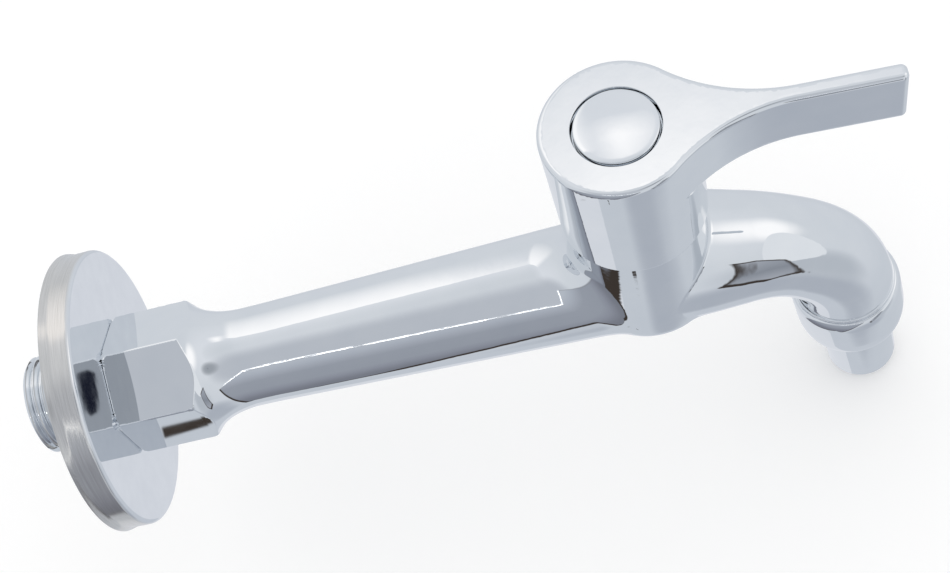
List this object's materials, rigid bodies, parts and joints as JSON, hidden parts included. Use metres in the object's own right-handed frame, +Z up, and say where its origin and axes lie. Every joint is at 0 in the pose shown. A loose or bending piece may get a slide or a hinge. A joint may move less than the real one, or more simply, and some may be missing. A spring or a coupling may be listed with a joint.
{
  "type": "wall-mounted garden tap",
  "caption": "Wall-mounted garden tap with a long tapered body, curved spout, quarter-turn lever, round wall flange and a plain hose nozzle held by a union nut.",
  "frame": {"origin": "on the inlet thread's axis, in the plane of the wall that the flange covers", "axes": "+X leaves the wall along the barrel, +Z up along the valve's axis, +Y to the left as seen from the spout's end"},
  "size_m": [0.1852, 0.06, 0.1182],
  "materials": {
    "polished_chrome": "mirror polished chrome plate on cast brass",
    "satin_steel": "pressed stainless sheet, polished face and brushed rim",
    "brass": "turned brass",
    "rubber": "moulded black rubber",
    "fibre": "pressed fibre",
    "ceramic": "lapped white ceramic",
    "slip_plastic": "slippery white plastic",
    "bush_plastic": "moulded white plastic",
    "spring_steel": "zinc-plated steel"
  },
  "bodies": {
    "tap": {"tap_body": "polished_chrome", "wall_flange": "satin_steel", "headwork_body": "brass", "headwork_washer": "fibre", "seat_seal": "rubber", "fixed_disc": "ceramic"},
    "handle_set": {"moving_disc": "ceramic", "disc_carrier": "brass", "spindle": "brass", "lower_spindle_ring": "rubber", "upper_spindle_ring": "rubber", "thrust_washer": "slip_plastic", "spindle_clip": "spring_steel", "spline_bush": "bush_plastic", "lever_handle": "polished_chrome", "handle_screw": "spring_steel", "lock_washer": "spring_steel", "index_cap": "polished_chrome"},
    "nozzle_set": {"hose_nozzle": "polished_chrome", "nozzle_washer": "rubber"},
    "nut": {"union_nut": "polished_chrome"}
  },
  "joints": [
    {"name": "handle_turn", "type": "hinge", "parent": "tap", "child": "handle_set", "pos_m": [0.1183, 0, 0], "axis": [0, 0, 1], "range_deg": [0, 90]},
    {"name": "nozzle_drop", "type": "slide", "parent": "tap", "child": "nozzle_set", "axis": [0.1219, 0, -0.9925], "range_m": [0, 0.006]},
    {"name": "nut_turn", "type": "hinge", "parent": "nozzle_set", "child": "nut", "pos_m": [0.16038, 0, -0.03513], "axis": [0.1219, 0, -0.9925], "range_deg": [0, 1440]}
  ],
  "couplings": [
    {"joint": "nozzle_drop", "follows": "nut_turn", "m_per_rad": 0.00023873}
  ]
}
